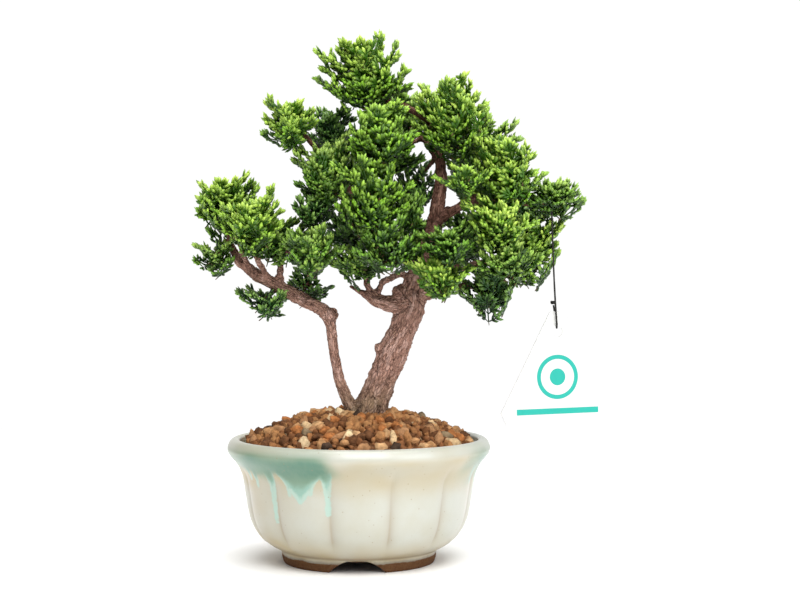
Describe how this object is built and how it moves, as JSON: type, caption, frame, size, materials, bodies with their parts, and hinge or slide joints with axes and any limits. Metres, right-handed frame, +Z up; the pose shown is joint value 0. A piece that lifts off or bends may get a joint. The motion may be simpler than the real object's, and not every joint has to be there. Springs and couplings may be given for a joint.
{
  "type": "hinoki cypress bonsai",
  "caption": "Twin-trunk hinoki cypress bonsai in a round lobed glazed pot on a notched foot ring, with gravel topdressing and a hanging card tag.",
  "frame": {"origin": "middle of the footprint of the tree and pot, on the surface the pot stands on", "axes": "+Z up, +X to the right of the front view, -Y towards the viewer"},
  "size_m": [0.3163, 0.197, 0.3949],
  "materials": {
    "glaze": "glossy cream glaze with a blue-green run at the rim, bare brown stoneware at the foot",
    "netting": "dark moulded netting",
    "soil": "dark grainy bonsai soil",
    "gravel": "mixed brown, tan, pale and dark stones",
    "bark": "grey-brown fissured bark with flakes",
    "foliage_bright": "bright yellow-green waxy scale leaves",
    "foliage_middle": "mid-green waxy scale leaves",
    "foliage_dark": "dark bluish-green waxy scale leaves",
    "tag_card": "white coated card",
    "thread": "black twisted thread"
  },
  "bodies": {
    "root": {"pot": "glaze", "drain_mesh": "netting", "soil": "soil", "gravel": "gravel", "trunk_and_branches": "bark", "foliage_left_crown": "foliage_bright", "foliage_left_front": "foliage_bright", "foliage_left_tip": "foliage_middle", "foliage_left_under": "foliage_dark", "foliage_left_inner": "foliage_middle", "foliage_left_low_back": "foliage_dark", "foliage_left_middle": "foliage_middle", "foliage_left_back": "foliage_middle", "foliage_left_bridge": "foliage_dark", "foliage_apex": "foliage_bright", "foliage_upper_left": "foliage_bright", "foliage_upper_left_back": "foliage_dark", "foliage_upper_front": "foliage_bright", "foliage_upper_right": "foliage_bright", "foliage_upper_middle": "foliage_middle", "foliage_middle_left": "foliage_middle", "foliage_front_high": "foliage_bright", "foliage_crown_heart": "foliage_dark", "foliage_front_middle": "foliage_middle", "foliage_right_high": "foliage_bright", "foliage_right_upper_back": "foliage_middle", "foliage_right_outer": "foliage_middle", "foliage_front_spray": "foliage_bright", "foliage_front_left": "foliage_middle", "foliage_centre_dark": "foliage_dark", "foliage_centre_low": "foliage_middle", "foliage_front_low": "foliage_bright", "foliage_front_centre": "foliage_middle", "foliage_right_inner": "foliage_dark", "foliage_right_front": "foliage_bright", "foliage_right_middle": "foliage_bright", "foliage_right_low": "foliage_dark", "foliage_right_edge": "foliage_middle", "foliage_back_left": "foliage_middle", "foliage_back_top": "foliage_middle", "foliage_back_right": "foliage_middle", "foliage_back_outer": "foliage_dark", "foliage_back_low": "foliage_middle", "foliage_back_inner": "foliage_dark", "tag_card": "tag_card", "tag_string": "thread", "tag_knot": "thread"}
  },
  "joints": []
}
